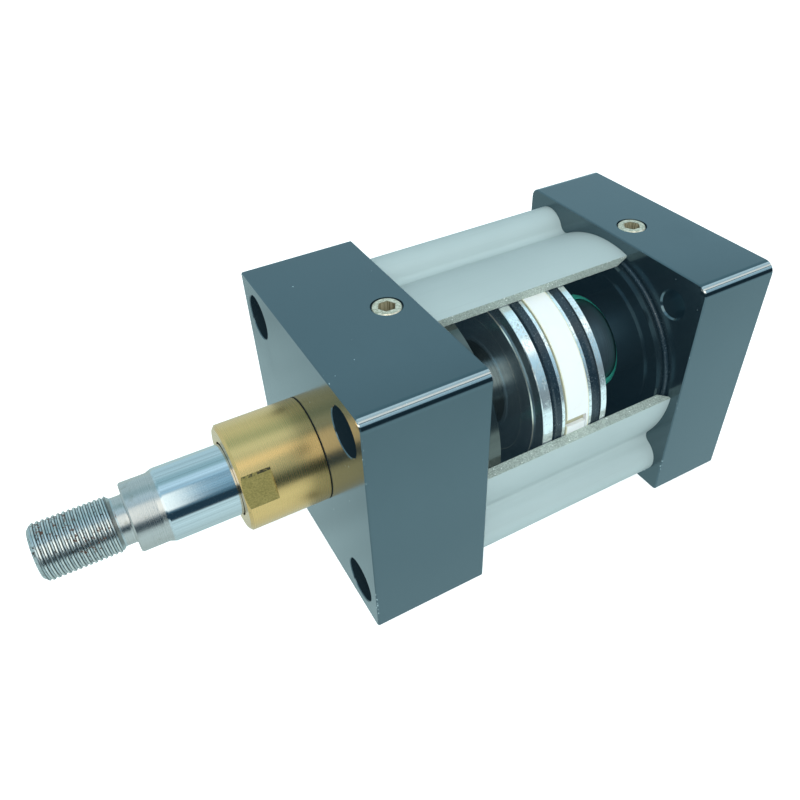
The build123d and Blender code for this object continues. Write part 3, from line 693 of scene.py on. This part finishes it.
def studio_world():
    """White for the camera, an even sky for soft light, and a room for reflections.

    The room's tone depends on the angle about the rod's axis, in degrees up from the near side's horizon.
    Below the horizon is pale ground. Above it come a dim stretch, a wall, a strip lamp overhead and the ceiling.
    The wall has two bright windows, one towards the rod's end and one towards the cap block.
    """
    far_ground = (0.57, 0.78, 0.80)
    ground = (0.76, 1.06, 1.14)
    dim = (0.022, 0.060, 0.095)
    low_wall = (0.14, 0.31, 0.44)
    wall = (0.30, 0.57, 0.76)
    lamp = (0.72, 1.08, 1.30)
    soffit = (0.40, 0.69, 0.80)
    ceiling = (0.58, 0.87, 0.99)
    front_glass = (1.65, 1.88, 1.88, 1)
    rear_glass = (1.25, 1.40, 1.42, 1)
    sky = (0.40, 0.485, 0.508, 1)
    stops = [(-180, far_ground), (-105, far_ground), (-40, ground), (-15, ground), (-9, dim), (11, dim),
             (20, low_wall), (42, wall), (70, wall), (86, lamp), (96, lamp), (104, soffit), (117, soffit),
             (134, ceiling), (180, ceiling)]
    world = bpy.data.worlds.new("studio")
    bpy.context.scene.world = world
    world.use_nodes = True
    tree = world.node_tree
    tree.nodes.clear()

    def node(kind, **inputs):
        made = tree.nodes.new("ShaderNode" + kind)
        for key, value in inputs.items():
            put(made.inputs[key], value)
        return made

    def put(socket, value):
        if isinstance(value, bpy.types.NodeSocket):
            tree.links.new(value, socket)
        else:
            socket.default_value = value

    def math(operation, first, second=0.0):
        made = node("Math")
        made.operation = operation
        put(made.inputs[0], first)
        put(made.inputs[1], second)
        return made.outputs[0]

    def between(value, low, high):
        made = node("MapRange", Value=value)
        made.interpolation_type = "SMOOTHSTEP"
        made.inputs["From Min"].default_value = low
        made.inputs["From Max"].default_value = high
        return made.outputs[0]

    def mix(factor, first, second):
        made = node("Mix")
        made.data_type = "RGBA"
        put(made.inputs[0], factor)
        put(made.inputs[6], first)
        put(made.inputs[7], second)
        return made.outputs[2]

    apart = node("SeparateXYZ", Vector=node("TexCoord").outputs["Generated"])
    angle = math("ARCTAN2", apart.outputs["Z"], math("MULTIPLY", apart.outputs["Y"], -1.0))
    share = math("ADD", math("DIVIDE", angle, tau), 0.5)
    ramp = node("ValToRGB", Fac=share)
    elements = ramp.color_ramp.elements
    while len(elements) < len(stops):
        elements.new(0.5)
    for element, (degrees, colour) in zip(elements, stops):
        element.position = (degrees + 180) / 360
        element.color = (*colour, 1)

    streaks = node("TexNoise", Scale=60.0, Detail=3.0)
    streaks.noise_dimensions = "1D"
    put(streaks.inputs["W"], share)
    streaked = node("MapRange", Value=streaks.outputs["Fac"])
    streaked.inputs["From Min"].default_value = 0.3
    streaked.inputs["From Max"].default_value = 0.7
    streaked.inputs["To Min"].default_value = 0.80
    streaked.inputs["To Max"].default_value = 1.20
    banded = node("VectorMath")
    banded.operation = "SCALE"
    put(banded.inputs[0], ramp.outputs[0])
    put(banded.inputs["Scale"], streaked.outputs[0])

    def window(angle_low, angle_high, ahead):
        """A mask of part of the near wall, between two angles, with soft edges."""
        soft_low = 4
        soft_high = 5
        above = between(angle, radians(angle_low - soft_low), radians(angle_low + soft_low))
        below = between(angle, radians(angle_high + soft_high), radians(angle_high - soft_high))
        return math("MULTIPLY", math("MULTIPLY", above, below), ahead)

    front = window(20, 70, between(apart.outputs["X"], 0.075, 0.02))
    rear = window(52, 70, between(apart.outputs["X"], 0.12, 0.18))
    room = mix(rear, mix(front, banded.outputs[0], front_glass), rear_glass)
    reflected = node("Background", Color=room)
    even = node("Background", Color=sky)
    white = node("Background", Color=(1, 1, 1, 1))
    path = node("LightPath")
    lit = node("MixShader")
    put(lit.inputs[0], path.outputs["Is Glossy Ray"])
    put(lit.inputs[1], even.outputs[0])
    put(lit.inputs[2], reflected.outputs[0])
    seen = node("MixShader")
    put(seen.inputs[0], path.outputs["Is Camera Ray"])
    put(seen.inputs[1], lit.outputs[0])
    put(seen.inputs[2], white.outputs[0])
    tree.links.new(seen.outputs[0], node("OutputWorld").inputs["Surface"])


def area_light(name, place, aim, width, height, power):
    """A soft rectangular lamp, placed and aimed in metres."""
    data = bpy.data.lights.new(name, "AREA")
    data.shape = "RECTANGLE"
    data.size = width
    data.size_y = height
    data.energy = power
    data.color = (0.88, 0.98, 1.0)
    lamp = bpy.data.objects.new(name, data)
    bpy.context.scene.collection.objects.link(lamp)
    lamp.location = place
    lamp.rotation_euler = (Vector(aim) - Vector(place)).to_track_quat("-Z", "Y").to_euler()
    lamp.visible_glossy = False


def camera():
    """The photograph's camera: 800 pixels wide, with a focal length of 738.72 pixels."""
    sensor = 36.0
    focal_pixels = 738.72
    frame_pixels = 800
    data = bpy.data.cameras.new("camera")
    data.sensor_width = sensor
    data.lens = focal_pixels * sensor / frame_pixels
    data.clip_start = 0.01
    right = Vector((0.8755012, -0.4818804, -0.0359025))
    down = Vector((-0.3341701, -0.5501150, -0.7653129))
    forward = Vector((0.3490388, 0.6820299, -0.6426563))
    turn = Matrix((right, -down, -forward)).transposed().to_4x4()
    eye = bpy.data.objects.new("camera", data)
    bpy.context.scene.collection.objects.link(eye)
    eye.matrix_world = Matrix.Translation(Vector((-57.2645, -183.9161, 179.3251)) * MM) @ turn
    bpy.context.scene.camera = eye


def dress(material, *names):
    """Gives CAD nodes their material."""
    for name in names:
        data = nodes[name].data
        data.materials.clear()
        data.materials.append(material)


bpy.context.scene.view_settings.view_transform = "Standard"
camera()
studio_world()
floor()
area_light("overhead", (0.05, 0.05, 1.1), (0.04, 0, 0), 1.1, 0.9, 3.3)
area_light("window_fill", (-0.30, -0.62, 0.62), (0.10, 0, 0), 0.25, 0.25, 3.4)
area_light("near_side", (-0.22, -1.08, 0.60), (0.04, 0, 0), 0.9, 0.5, 4.8)

head_anodised = block_finish("head_anodised", 0.0, HEAD_LENGTH)
cap_anodised = block_finish("cap_anodised", CAP_FACE, REAR_FACE)
dress(head_anodised, "head_block")
dress(cap_anodised, "cap_block")
dress(barrel_finish(), "barrel_tube")
dress(gland_finish(), "gland")
dress(piston_finish(), "piston")
dress(band_finish(), "wear_band")
dress(screw_finish(), "head_cushion_screw", "cap_cushion_screw")
dress(steel_finish("tie_rod_steel", (0.42, 0.44, 0.45), (0.62, 0.64, 0.65), 0.26), "tie_rods")
nut_oxide = steel_finish("nut_oxide", (0.035, 0.040, 0.045), (0.075, 0.080, 0.085), 0.34)
dress(nut_oxide, "sleeve_nuts")
dress(turned_finish("sleeve_steel", (0.50, 0.50, 0.48), (0.30, 0.30, 0.28), 0.22).material, "head_cushion_sleeve")
dress(turned_finish("spear_oxide", (0.13, 0.19, 0.22), (0.08, 0.12, 0.15), 0.30, metallic=0.6).material,
      "cap_cushion_spear")
black_rubber = rubber_finish("seal_rubber", (0.003, 0.007, 0.011), (0.012, 0.021, 0.029), 0.20, 0.55).material
green = rubber_finish("cushion_rubber", (0.08, 0.66, 0.50), (0.11, 0.80, 0.62), 0.22)
# A stronger painted glow on the green cushion seals, which sit in shade in the cap's mouth.
green.lift_shadows((0.13, 1.0, 0.80), 0.035)
dress(black_rubber, "front_piston_seal", "rear_piston_seal", "rod_wiper", "rod_seal")
dress(green.material, "head_cushion_seal", "cap_cushion_seal")

threaded_rod(rod_finish())
rubber_rings(black_rubber)
port_threads(head_anodised, cap_anodised)
nut_threads(nut_oxide)
